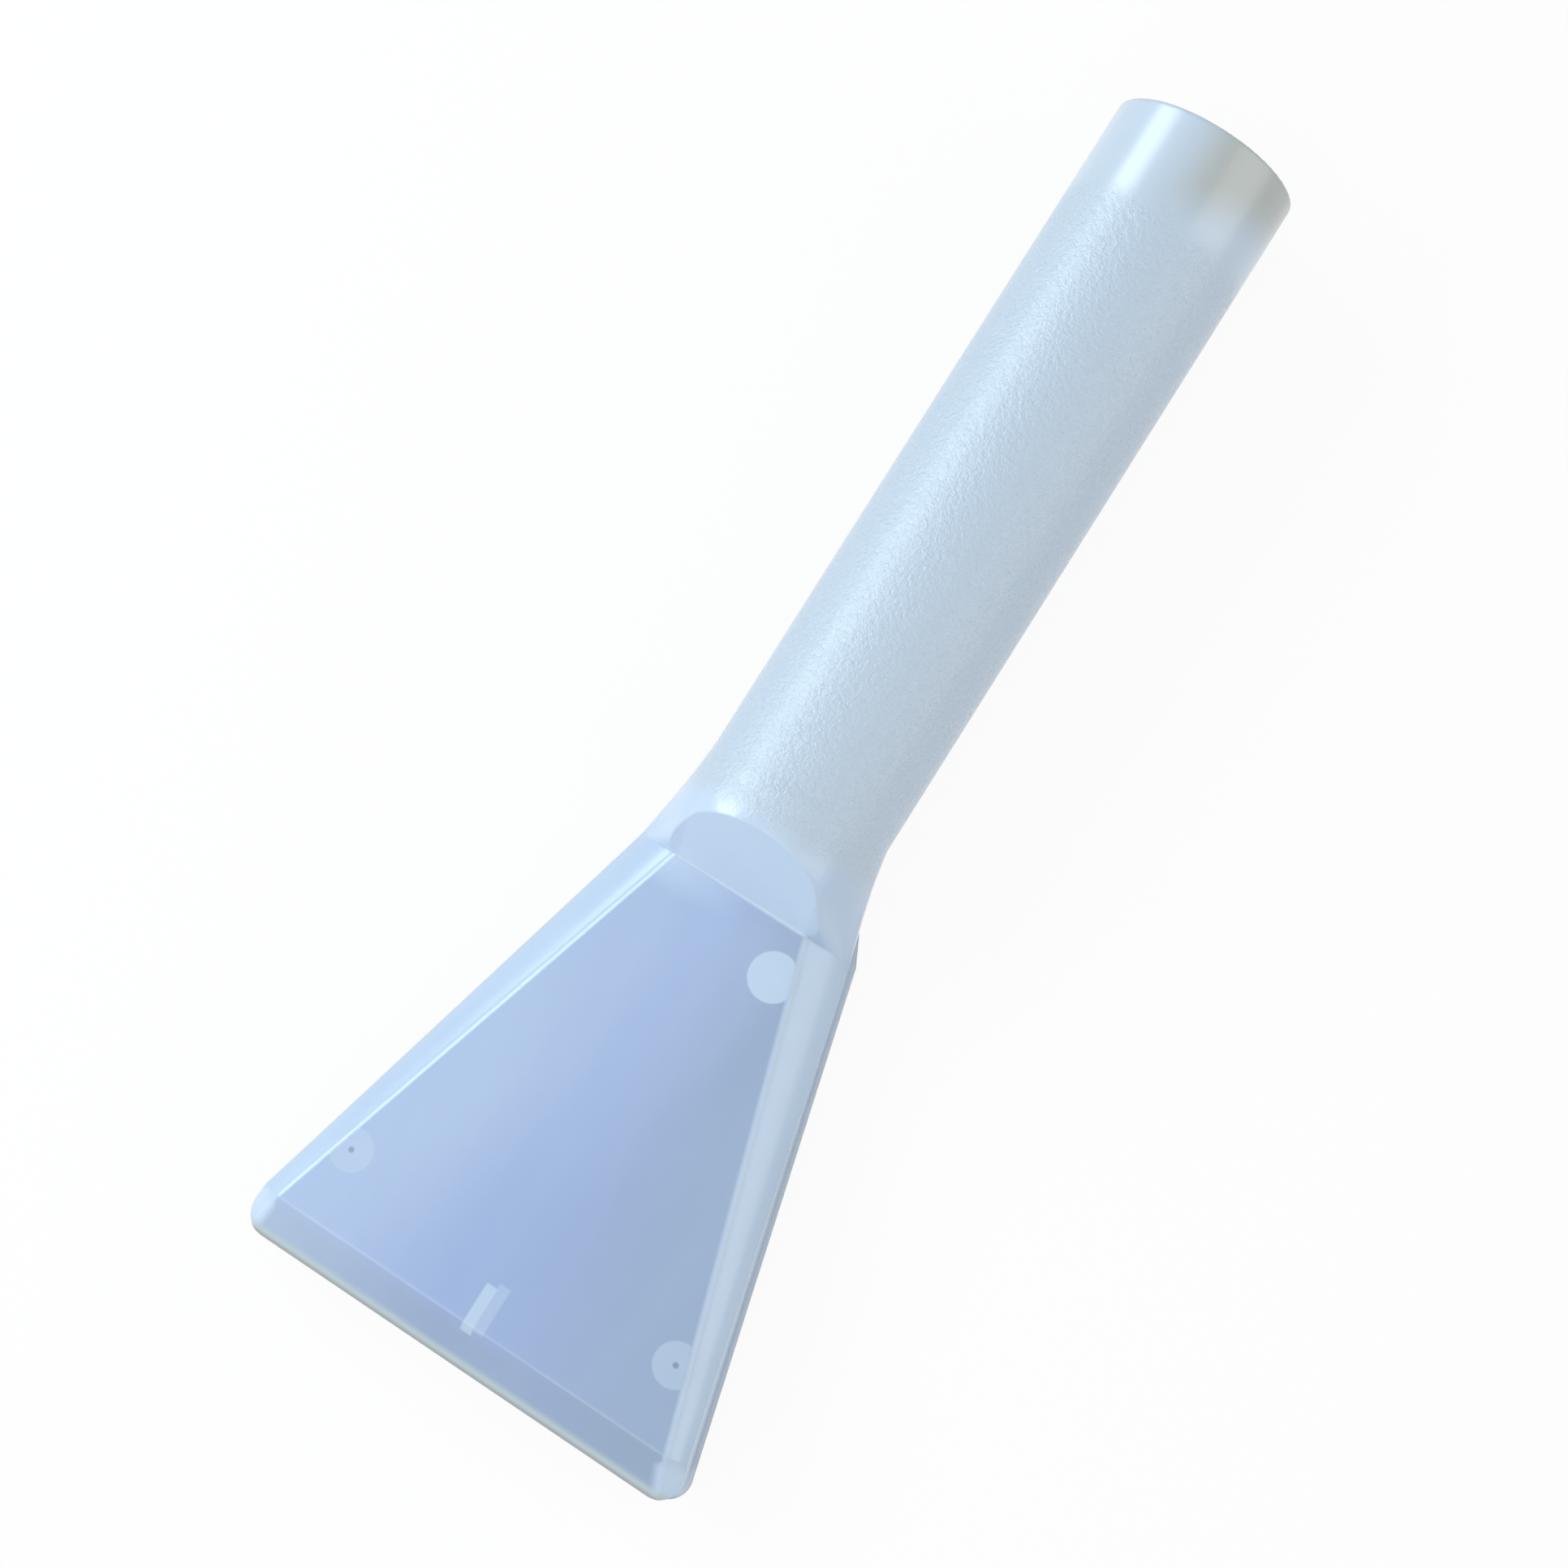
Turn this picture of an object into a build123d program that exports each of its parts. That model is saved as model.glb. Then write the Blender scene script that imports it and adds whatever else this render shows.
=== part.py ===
"""Upholstery extractor hand tool: a round tube handle that opens into a flat, see-through fishtail head.

The tool lies on its back with the window up. +Y points to the open end of the tube, +Z points up out of the window,
and the origin is at the middle of the underside. All sizes are in millimetres.
"""

import os
from math import cos, hypot, radians, sin

from build123d import *

# Tube handle
socket_bore = 35.0
tube_wall = 2.0
tube_length = 148.0
rim_rounding = 0.7

# Neck, from the round tube to the flat head
neck_length = 22.0
neck_half_width = 24.1
ramp_length = 12.0

# Head, from the neck crease to the mouth
window_length = 96.4
lip_length = 9.6
flank_slope = 0.2585
window_height = 19.5
shoulder_width_neck = 9.1
shoulder_width_mouth = 4.15
crown_height = 12.0
ridge_rounding = 1.2
back_flat_length = 78.0
back_corner_radius = 5.0
head_wall = 2.2

# Suction mouth
slot_height = 5.5
slot_middle_height = 6.0
mouth_corner_radius = 5.0

# Back cover and what joins it to the body
cover_step = 1.0
cover_lead = 6.0
boss_radius_neck = 4.8
boss_radius_mouth = 4.3
boss_inset_neck = 10.0
boss_inset_mouth = 81.2
boss_spread_neck = 13.9
boss_spread_mouth = 37.4
boss_depth = 8.0
pin_radius = 1.4
pin_length = 5.0
pin_clearance = 0.1
rib_thickness = 2.6
rib_length = 10.5
rib_setback = 7.7

# Places along the tool that follow from the sizes
tube_radius = socket_bore / 2 + tube_wall
overall_length = tube_length + neck_length + window_length + lip_length
tube_end = overall_length / 2
neck_start = tube_end - tube_length
neck_crease = neck_start - neck_length
mouth_crease = neck_crease - window_length
mouth_edge = mouth_crease - lip_length
back_bend = neck_crease - back_flat_length
cover_end = neck_crease + cover_lead
lip_height = slot_height + 2 * head_wall
lip_top = slot_middle_height + lip_height / 2
lip_bottom = slot_middle_height - lip_height / 2
ramp_rise = 2 * tube_radius - window_height
boss_foot = window_height - head_wall - boss_depth
trim_margin = 0.05
reach = 2 * overall_length

# How the round section runs into the flat one
circle_angles = (53.0, 47.0, 5.0, -35.0, -62.0)
neck_shares = (0.0, 0.3, 0.6, 0.8, 0.9, 1.0)
flare_power = flank_slope * neck_length / (neck_half_width - tube_radius)
shoulder_power = 3.0
ridge_power = 6.0
crown_power = 10.0
ridge_bulge = 0.15
shoulder_bulge = 0.07
inner_corner_share = 0.4
corner_limit = 0.42


def blend(start, end, share):
    """Return the value that lies a share of the way from start to end."""
    return start + (end - start) * share


def flank(y):
    """Return the half width of the head, whose flanks are straight."""
    return neck_half_width + flank_slope * (neck_crease - y)


def window_edge(y):
    """Return the half width of the flat window, which the shoulders leave between the flanks."""
    return flank(y) - blend(shoulder_width_neck, shoulder_width_mouth, (neck_crease - y) / window_length)


def back_height(y):
    """Return the height of the underside, flat at first and then rising to the rear lip."""
    return lip_bottom * max(0.0, (back_bend - y) / (back_bend - mouth_edge))


def front_height(y):
    """Return the height of the window, which drops to the front lip past the mouth crease."""
    return blend(window_height, lip_top, max(0.0, (mouth_crease - y) / lip_length))


def bulged(start, end, bulge):
    """Return the middle of an arc from start to end that stands out to the right by a share of its chord."""
    dx, dz = end[0] - start[0], end[1] - start[1]
    return ((start[0] + end[0]) / 2 - dz * bulge, (start[1] + end[1]) / 2 + dx * bulge)


def head_points(y, side_inset, depth_inset):
    """Return the right half of the head's section: shoulder, wall and heel runs, then sole and crown."""
    half = flank(y) - side_inset
    top = front_height(y) - depth_inset
    bottom = back_height(y) + depth_inset
    drop = min(flank(y) - window_edge(y), (top - bottom) * corner_limit)
    heel_radius = min(back_corner_radius, (top - bottom) * corner_limit)
    round_off = heel_radius * (1 - cos(radians(45)))
    corner = window_edge(y) - side_inset * inner_corner_share
    wall_top = (half, top - drop)
    wall_foot = (half, bottom + heel_radius)
    ridge_share = ridge_rounding / hypot(half - corner, drop)
    ridge_start = (corner - ridge_rounding, top)
    ridge_end = (blend(corner, half, ridge_share), top - drop * ridge_share)
    return [
        ridge_start,
        bulged(ridge_start, ridge_end, ridge_bulge),
        ridge_end,
        bulged(ridge_end, wall_top, shoulder_bulge),
        wall_top,
        (half, (wall_top[1] + wall_foot[1]) / 2),
        wall_foot,
        (half - round_off, bottom + round_off),
        (half - heel_radius, bottom),
        (0.0, bottom),
        (0.0, top + crown_height),
    ]


def tube_points(inset):
    """Return the points of the tube's circle that match those of the head's section."""
    a, b, c, d, e = circle_angles
    angles = (a, (a + b) / 2, b, (b + c) / 2, c, (c + d) / 2, d, (d + e) / 2, e, -90.0, 90.0)
    radius = tube_radius - inset
    return [(radius * cos(radians(t)), tube_radius + radius * sin(radians(t))) for t in angles]


def neck_points(share, tube_inset, side_inset, depth_inset):
    """Return the section points a share of the way along the neck, where the crown stays high the longest."""
    powers = (ridge_power,) * 3 + (shoulder_power,) + (flare_power,) * 6 + (crown_power,)
    pairs = zip(tube_points(tube_inset), head_points(neck_crease, side_inset, depth_inset), powers)
    return [tuple(blend(a, b, share**power) for a, b in zip(start, end)) for start, end, power in pairs]


def mirrored(point):
    """Return the point on the left side of the section."""
    return (-point[0], point[1])


def side_run(start, middle, end):
    """Return one run of a section, straight where its three points lie in line.

    The runs are made apart from any line context, which would join those of the tube into one circle.
    """
    bow = (end[0] - start[0]) * (middle[1] - start[1]) - (end[1] - start[1]) * (middle[0] - start[0])
    if abs(bow) < 1e-6:
        return Line(start, end, mode=Mode.PRIVATE)
    return ThreePointArc(start, middle, end, mode=Mode.PRIVATE)


def section(y, points, crowned):
    """Return the closed section through the given right-half points at a place along the tool."""
    *side, sole, crown = points
    top = crown if crowned else (0.0, side[0][1])
    outline = [mirrored(side[0]), top, *side, sole, *(mirrored(point) for point in reversed(side))]
    runs = [side_run(*run) for run in zip(outline[0::2], outline[1::2], outline[2::2])]
    return Plane.XZ.offset(-y) * Face(Wire(runs))


def tool_form(tube_inset, side_inset, depth_inset, mouth_inset):
    """Return the closed form of the tool, drawn in from its outside by the given walls."""
    ramp_drop = depth_inset * hypot(ramp_rise, ramp_length) / ramp_length
    neck_stations = [
        section(
            blend(neck_start, neck_crease, share),
            neck_points(share, tube_inset, side_inset, depth_inset),
            crowned=True,
        )
        for share in neck_shares
    ]
    head_stations = [
        section(y, head_points(y, side_inset, depth_inset), crowned=False)
        for y in (neck_crease, back_bend, mouth_crease, mouth_edge - lip_length / 10)
    ]
    with BuildPart() as neck:
        loft(neck_stations)
        with BuildSketch(Plane.YZ):
            with BuildLine():
                Polyline(
                    (neck_crease - ramp_length, window_height - ramp_rise - ramp_drop),
                    (neck_crease + 2 * ramp_length, window_height + 2 * ramp_rise - ramp_drop),
                    (neck_crease - ramp_length, window_height + 2 * ramp_rise - ramp_drop),
                    close=True,
                )
            make_face()
        extrude(amount=reach, both=True, mode=Mode.SUBTRACT)

    with BuildPart() as head:
        loft(head_stations, ruled=True)
        with BuildSketch():
            foot = mouth_edge + mouth_inset
            with BuildLine():
                Polyline(
                    (flank(foot) - side_inset + trim_margin, foot),
                    (flank(neck_start) - side_inset + trim_margin, neck_start),
                    (side_inset - flank(neck_start) - trim_margin, neck_start),
                    (side_inset - flank(foot) - trim_margin, foot),
                    close=True,
                )
            plan = make_face()
            fillet(plan.vertices().group_by(Axis.Y)[0], radius=mouth_corner_radius - mouth_inset)
        extrude(amount=reach, both=True, mode=Mode.INTERSECT)

    with BuildPart() as form:
        with BuildSketch(Plane.XZ.offset(-neck_start)):
            with Locations((0, tube_radius)):
                Circle(tube_radius - tube_inset)
        extrude(amount=-tube_length)
        add(neck.part)
        add(head.part)
    return form.part


# One boss stands by the neck, on the right, and one at each end of the mouth
boss_places = [
    (boss_spread_neck, neck_crease - boss_inset_neck, boss_radius_neck),
    (boss_spread_mouth, neck_crease - boss_inset_mouth, boss_radius_mouth),
    (-boss_spread_mouth, neck_crease - boss_inset_mouth, boss_radius_mouth),
]

outside = tool_form(tube_inset=0.0, side_inset=0.0, depth_inset=0.0, mouth_inset=0.0)
cover_outside = tool_form(tube_inset=0.0, side_inset=-cover_step, depth_inset=0.0, mouth_inset=0.0)

# Hollow inside, from the socket to the suction slot
with BuildPart() as hollow:
    add(tool_form(tube_inset=tube_wall, side_inset=head_wall, depth_inset=head_wall, mouth_inset=head_wall))
    with Locations((0, mouth_edge, slot_middle_height)):
        Box(2 * (flank(mouth_edge) - mouth_corner_radius), 3 * head_wall, slot_height)

# Room for the bosses, which end halfway into the wall
with BuildPart() as boss_room:
    add(tool_form(tube_wall / 2, side_inset=head_wall / 2, depth_inset=head_wall / 2, mouth_inset=head_wall / 2))

with BuildPart() as bosses:
    for x, y, radius in boss_places:
        with BuildSketch(Plane.XY.offset(boss_foot)):
            with Locations((x, y)):
                Circle(radius)
        extrude(amount=boss_depth + head_wall)
    add(boss_room.part, mode=Mode.INTERSECT)

# Space that the back cover takes below the parting plane
with BuildPart() as cover_space:
    with BuildSketch(Plane.XY.offset(slot_middle_height)):
        with Locations((0, cover_end)):
            Rectangle(reach, reach, align=(Align.CENTER, Align.MAX))
    extrude(amount=-reach)

# Body: tube handle, neck, window front with its bosses and the spacer rib
with BuildPart() as body:
    add(outside)
    add(hollow.part, mode=Mode.SUBTRACT)
    add(cover_space.part, mode=Mode.SUBTRACT)
    add(bosses.part)
    for x, y, radius in boss_places:
        with BuildSketch(Plane.XY.offset(boss_foot)):
            with Locations((x, y)):
                Circle(pin_radius + pin_clearance)
        extrude(amount=pin_length + pin_clearance, mode=Mode.SUBTRACT)
    rim = body.edges().filter_by(GeomType.CIRCLE).group_by(Axis.Y)[-1]
    fillet(rim, radius=rim_rounding)

# Spacer rib at the middle of the mouth, from the window down to the back cover
with BuildPart() as rib:
    with BuildSketch():
        with Locations((0, mouth_edge + rib_setback)):
            Rectangle(rib_thickness, rib_length, align=(Align.CENTER, Align.MIN))
    extrude(amount=window_height)
    add(hollow.part, mode=Mode.INTERSECT)

with BuildPart() as body_with_rib:
    add(body.part)
    add(rib.part)

# Back cover: shallow tray with three pinned posts
with BuildPart() as back_cover:
    add(cover_outside)
    add(hollow.part, mode=Mode.SUBTRACT)
    add(cover_space.part, mode=Mode.INTERSECT)
    for x, y, radius in boss_places:
        seat = back_height(y - radius) + head_wall / 2
        with BuildSketch(Plane.XY.offset(seat)):
            with Locations((x, y)):
                Circle(radius)
        extrude(amount=boss_foot - seat)
        with BuildSketch(Plane.XY.offset(boss_foot)):
            with Locations((x, y)):
                Circle(pin_radius)
        extrude(amount=pin_length)

os.makedirs("parts", exist_ok=True)
body_with_rib.part.label = "body"
export_step(body_with_rib.part, "parts/body.step")
back_cover.part.label = "back_cover"
export_step(back_cover.part, "parts/back_cover.step")
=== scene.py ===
"""Looks of an upholstery extractor hand tool, lying on its back on a pale studio floor.

The tool is two milky, see-through plastic mouldings: a body, whose round handle is spark-grained and
whose fishtail head is smooth, and a back cover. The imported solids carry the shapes, and this script gives
them their finish, the light and the view. Lengths are in metres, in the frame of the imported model: +Y
along the handle to its open end, +Z up out of the window.
"""

from __future__ import annotations

import logging
from dataclasses import dataclass, field
from enum import Enum

import bpy
import numpy as np
from mathutils import Matrix, Vector


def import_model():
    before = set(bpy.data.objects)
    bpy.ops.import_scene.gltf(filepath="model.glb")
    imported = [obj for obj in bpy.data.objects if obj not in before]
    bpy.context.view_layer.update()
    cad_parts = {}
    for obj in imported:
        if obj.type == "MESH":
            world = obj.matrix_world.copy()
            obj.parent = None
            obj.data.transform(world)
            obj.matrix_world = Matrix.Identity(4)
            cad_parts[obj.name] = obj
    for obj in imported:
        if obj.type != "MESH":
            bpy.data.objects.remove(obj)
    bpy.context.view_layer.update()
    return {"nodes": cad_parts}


LOG = logging.getLogger("hand_tool")
MM = 0.001
NODE_SPACING = 190
BEVEL_SAMPLES = 4

Colour = tuple[float, float, float, float]
Triple = tuple[float, float, float]

WHITE: Colour = (1.0, 1.0, 1.0, 1.0)


class Socket(Enum):
    """Kinds of socket that the shared shader groups use."""

    VALUE = "NodeSocketFloat"
    COLOUR = "NodeSocketColor"
    VECTOR = "NodeSocketVector"


class NodeBench:
    """Adds and links nodes in one node tree with short calls."""

    def __init__(self, tree: bpy.types.NodeTree) -> None:
        """Keep the tree and the column at which the next node is placed."""
        self.tree = tree
        self.column = 0

    def add(self, kind: str, inputs: dict | None = None, **settings: object) -> bpy.types.Node:
        """Add a node, set its properties and fill or link its inputs.

        Args:
            kind: The node's Blender type name.
            inputs: Values or output sockets by input name or number.
            **settings: Properties of the node itself.

        Returns:
            The new node.
        """
        node = self.tree.nodes.new(kind)
        node.location = (self.column * NODE_SPACING, 0)
        self.column += 1
        for name, value in settings.items():
            setattr(node, name, value)
        for name, value in (inputs or {}).items():
            if isinstance(value, bpy.types.NodeSocket):
                self.tree.links.new(value, node.inputs[name])
            else:
                node.inputs[name].default_value = value
        return node

    def maths(
        self, operation: str, first: object, second: object = 0.0, clamp: bool = False
    ) -> bpy.types.NodeSocket:
        """Return the result of a Math node on two values or sockets."""
        node = self.add("ShaderNodeMath", {0: first, 1: second}, operation=operation, use_clamp=clamp)
        return node.outputs[0]

    def vector(self, operation: str, first: object, second: object = (0.0, 0.0, 0.0)) -> bpy.types.NodeSocket:
        """Return the result of a Vector Math node on two vectors or sockets."""
        return self.add("ShaderNodeVectorMath", {0: first, 1: second}, operation=operation).outputs["Vector"]

    def mix(self, share: object, first: object, second: object) -> bpy.types.NodeSocket:
        """Return the mix of two colours, the second by the given share."""
        return self.add("ShaderNodeMix", {0: share, 6: first, 7: second}, data_type="RGBA").outputs[2]

    def group(self, tree: bpy.types.NodeTree, inputs: dict[str, object]) -> bpy.types.bpy_prop_collection:
        """Place a shader group, fill its inputs and return its outputs."""
        return self.add("ShaderNodeGroup", inputs, node_tree=tree).outputs

    def ramp(self, value: object, start: object, end: object) -> bpy.types.NodeSocket:
        """Return a smooth step of a value, 0 at start and 1 at end."""
        node = self.add(
            "ShaderNodeMapRange",
            {"Value": value, "From Min": start, "From Max": end},
            interpolation_type="SMOOTHSTEP",
        )
        return node.outputs["Result"]


def shader_group(
    name: str, inputs: dict[str, tuple[Socket, object]], outputs: dict[str, Socket]
) -> NodeBench:
    """Make an empty shader node group with named sockets.

    Args:
        name: The group's name.
        inputs: Kind and default value of each input, by name.
        outputs: Kind of each output, by name.

    Returns:
        A bench on the group's tree, which has no nodes yet.
    """
    tree = bpy.data.node_groups.new(name, "ShaderNodeTree")
    for label, (kind, default) in inputs.items():
        socket = tree.interface.new_socket(name=label, in_out="INPUT", socket_type=kind.value)
        if default is not None:
            socket.default_value = default
    for label, kind in outputs.items():
        tree.interface.new_socket(name=label, in_out="OUTPUT", socket_type=kind.value)
    return NodeBench(tree)


class MouldedEffects:
    """Shader groups that both mouldings share, each built once.

    Attributes:
        fine_ratio: How many times finer the second layer of grain is than the first.
        fine_detail: Octaves of the second layer.
        pebble_share: Share of the first layer in the height of the grain.
        dull_heights: Heights of the grain between which the coat turns dull.
        collar_shade_edges: Places across the handle between which the painted shade of the collar comes in.
        ramp_facing: Y of the normal between which a wall above the neck crease counts as the ramp.
        shade_start: Share of the window's half width at which the painted shade that greys its wall starts.
        flow_cells: Cloud cells per metre along X, Y and Z, fewest along the flow of the plastic.
        flow_detail: Octaves of the clouds.
    """

    fine_ratio: float = 2.3
    fine_detail: float = 2.0
    pebble_share: float = 0.8
    dull_heights: tuple[float, float] = (0.55, 0.95)
    # Painted shade at the right of the collar
    collar_shade_edges: tuple[float, float] = (-4 * MM, 9 * MM)
    ramp_facing: tuple[float, float] = (-0.15, -0.35)
    # Painted shade on the window's right side
    shade_start: float = -0.2
    flow_cells: Triple = (60.0, 18.0, 60.0)
    flow_detail: float = 4.0

    def __init__(self) -> None:
        """Build the groups."""
        self.grain = self._spark_grain()
        self.depth = self._wall_depth()
        self.post = self._post_mark()
        self.corner = self._corner_light()
        self.milk = self._milk()

    def _spark_grain(self) -> bpy.types.NodeTree:
        """Build the spark-eroded grain of the grip.

        Two layers of noise cells give a pebbled height, and a smooth step along the handle fades it in and
        out. The coat is dull on the grain's tops. The collar is the smooth stretch between the grain and the
        open end. At its right it gets a warm painted shade, as of a shadow cast in through the open end,
        whose edge starts nearer to the open end further to the right.

        Returns:
            The group's tree, with outputs Height, Dull, Handle and Collar.
        """
        bench = shader_group(
            "spark_grain",
            {
                "Vector": (Socket.VECTOR, None),
                "Start": (Socket.VALUE, 0.0),
                "End": (Socket.VALUE, 0.1),
                "Fade": (Socket.VALUE, 0.01),
                "Cell": (Socket.VALUE, 0.7 * MM),
                "Slant": (Socket.VALUE, 0.0),
            },
            {"Height": Socket.VALUE, "Dull": Socket.VALUE, "Handle": Socket.VALUE, "Collar": Socket.VALUE},
        )
        source = bench.add("NodeGroupInput").outputs
        scale = bench.maths("DIVIDE", 1.0, source["Cell"])
        point = source["Vector"]
        pebbles = bench.add("ShaderNodeTexVoronoi", {"Vector": point, "Scale": scale}, feature="SMOOTH_F1")
        fine_scale = bench.maths("MULTIPLY", scale, self.fine_ratio)
        fine_inputs = {"Vector": point, "Scale": fine_scale, "Detail": self.fine_detail}
        fine = bench.add("ShaderNodeTexNoise", fine_inputs)
        coarse = bench.maths("MULTIPLY", pebbles.outputs["Distance"], self.pebble_share)
        mixed = bench.maths("ADD", coarse, fine.outputs[0])
        place = bench.add("ShaderNodeSeparateXYZ", {"Vector": point}).outputs
        along = place["Y"]
        low_end = bench.maths("ADD", source["Start"], source["Fade"])
        high_end = bench.maths("SUBTRACT", source["End"], source["Fade"])
        rise = bench.ramp(along, source["Start"], low_end)
        fall = bench.ramp(along, source["End"], high_end)
        mask = bench.maths("MULTIPLY", rise, fall)
        height = bench.maths("MULTIPLY", mixed, mask)
        # Painted shade at the right of the collar, as of a shadow cast in through the open end
        right_side = bench.ramp(place["X"], *self.collar_shade_edges)
        beyond = bench.maths("ADD", source["End"], source["Fade"])
        slanted = bench.maths("SUBTRACT", along, bench.maths("MULTIPLY", place["X"], source["Slant"]))
        collar = bench.maths("MULTIPLY", bench.ramp(slanted, high_end, beyond), right_side)
        dull = bench.maths("MULTIPLY", bench.ramp(mixed, *self.dull_heights), mask)
        bench.add("NodeGroupOutput", {"Height": height, "Dull": dull, "Handle": rise, "Collar": collar})
        return bench.tree

    def _wall_depth(self) -> bpy.types.NodeTree:
        """Build the depth of plastic that lies behind the skin.

        The window is one thin flat wall, whose half width grows in a straight line from the neck crease to
        the mouth crease. Beyond it, in the shoulders, the ramp and the handle, the wall bends away and is
        seen through more plastic. Painted light is added to the depth towards the window's left edge and just
        below the neck crease. Painted shade greys the window's right side and the lip below the mouth crease,
        the lip's rim is thick, and painted shade lies along the rim's rounded edge. The light lines along
        corners, partly a painted highlight, are dimmed where creases run on across the shoulders, and at the
        mouth. The ramp is the wall above the neck crease that faces the mouth, and it gets painted light.

        Returns:
            The group's tree, with outputs Depth, 0 in the window and 1 outside it, painted light included,
            Far,
            1 where painted shade greys the thin wall, Rim, Edge, the painted shade along the rim's edge,
            Ramp, the painted light on the ramp, and Catch, the share of a corner's light line, partly a
            painted highlight, that shows.
        """
        bench = shader_group(
            "wall_depth",
            {
                "Vector": (Socket.VECTOR, None),
                "Normal": (Socket.VECTOR, None),
                "Neck": (Socket.VALUE, 0.0),
                "Mouth": (Socket.VALUE, -0.1),
                "Neck Edge": (Socket.VALUE, 0.01),
                "Mouth Edge": (Socket.VALUE, 0.04),
                "Lip Rim": (Socket.VALUE, -0.11),
                "Lip Edge": (Socket.VALUE, -0.12),
                "Soft": (Socket.VALUE, 0.001),
                "Side Depth": (Socket.VALUE, 1.0),
                "Lip Soft": (Socket.VALUE, 0.002),
                "Lip Shade": (Socket.VALUE, 0.0),
                "Mouth Dim": (Socket.VALUE, 0.0),
                "Left Light": (Socket.VALUE, 0.0),
                "Left Light Width": (Socket.VALUE, 0.05),
                "Glow Strength": (Socket.VALUE, 0.0),
                "Glow Length": (Socket.VALUE, 0.01),
            },
            {
                "Depth": Socket.VALUE,
                "Far": Socket.VALUE,
                "Rim": Socket.VALUE,
                "Edge": Socket.VALUE,
                "Ramp": Socket.VALUE,
                "Catch": Socket.VALUE,
            },
        )
        source = bench.add("NodeGroupInput").outputs
        place = bench.add("ShaderNodeSeparateXYZ", {"Vector": source["Vector"]}).outputs
        half_range = {
            "Value": place["Y"],
            "From Min": source["Neck"],
            "From Max": source["Mouth"],
            "To Min": source["Neck Edge"],
            "To Max": source["Mouth Edge"],
        }
        half = bench.add("ShaderNodeMapRange", half_range, clamp=False).outputs["Result"]
        ridge = bench.maths("MAXIMUM", half, source["Neck Edge"])
        beyond = bench.maths("SUBTRACT", bench.maths("ABSOLUTE", place["X"]), ridge)
        above = bench.maths("SUBTRACT", place["Y"], source["Neck"])
        below = bench.maths("SUBTRACT", source["Mouth"], place["Y"])
        lip = bench.ramp(below, 0.0, source["Lip Soft"])
        inner = bench.maths("MULTIPLY", source["Soft"], -1.0)
        wide = bench.maths("MULTIPLY", source["Soft"], 2.0)

        # Thick walls around the window, thinner in the shoulders beside it, and the ramp above it, whose wall
        # facing the mouth gets painted light
        lip_soft = bench.maths("MULTIPLY", lip, source["Lip Soft"])
        side_soft = bench.maths("MAXIMUM", source["Soft"], lip_soft)
        side = bench.ramp(beyond, bench.maths("MULTIPLY", side_soft, -1.0), 0.0)
        thinner = bench.maths("MULTIPLY", side, bench.maths("SUBTRACT", 1.0, source["Side Depth"]))
        thinner = bench.maths("MULTIPLY", thinner, bench.maths("SUBTRACT", 1.0, lip))
        upper = bench.ramp(above, inner, 0.0)
        thick = bench.maths("MAXIMUM", side, upper)
        thick = bench.maths("MULTIPLY", thick, bench.maths("SUBTRACT", 1.0, thinner))
        facing = bench.add("ShaderNodeSeparateXYZ", {"Vector": source["Normal"]}).outputs["Y"]
        slope = bench.maths("MULTIPLY", upper, bench.ramp(facing, *self.ramp_facing))

        # Painted light at the window's left edge and just below the neck crease, mixed in as extra depth
        inward = bench.maths("ADD", place["X"], half)
        painted_left_light = bench.maths("MULTIPLY", bench.ramp(inward, source["Left Light Width"], 0.0), source["Left Light"])
        leftward = bench.ramp(inward, bench.maths("MULTIPLY", half, 2.0), 0.0)
        reach = bench.maths("MULTIPLY", source["Glow Length"], -1.0)
        painted_glow = bench.maths("MULTIPLY", bench.ramp(above, reach, 0.0), leftward)
        painted_glow = bench.maths("MULTIPLY", painted_glow, source["Glow Strength"])
        depth = bench.maths("MAXIMUM", thick, bench.maths("MAXIMUM", painted_left_light, painted_glow))

        # Painted shade that greys the right side and the lip, the thick rim, and painted shade along its
        # rounded edge
        far = bench.ramp(place["X"], bench.maths("MULTIPLY", half, self.shade_start), half)
        far = bench.maths("MAXIMUM", far, bench.maths("MULTIPLY", lip, source["Lip Shade"]))
        rim = bench.ramp(bench.maths("SUBTRACT", source["Lip Rim"], place["Y"]), inner, source["Soft"])
        dark = bench.ramp(bench.maths("SUBTRACT", source["Lip Edge"], place["Y"]), inner, 0.0)

        # Creases where the light lines along corners, partly a painted highlight, are dimmed
        near_neck = bench.ramp(bench.maths("ABSOLUTE", above), wide, source["Soft"])
        near_mouth = bench.ramp(bench.maths("ABSOLUTE", below), wide, source["Soft"])
        near = bench.maths("MAXIMUM", near_neck, near_mouth)
        across = bench.maths("MULTIPLY", near, bench.ramp(beyond, 0.0, wide))
        dimmed = bench.maths("MAXIMUM", across, bench.maths("MULTIPLY", near_mouth, source["Mouth Dim"]))
        catch = bench.maths("SUBTRACT", 1.0, dimmed)
        outputs = {
            "Depth": depth,
            "Far": far,
            "Rim": rim,
            "Edge": dark,
            "Ramp": slope,
            "Catch": catch,
        }
        bench.add("NodeGroupOutput", outputs)
        return bench.tree

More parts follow.
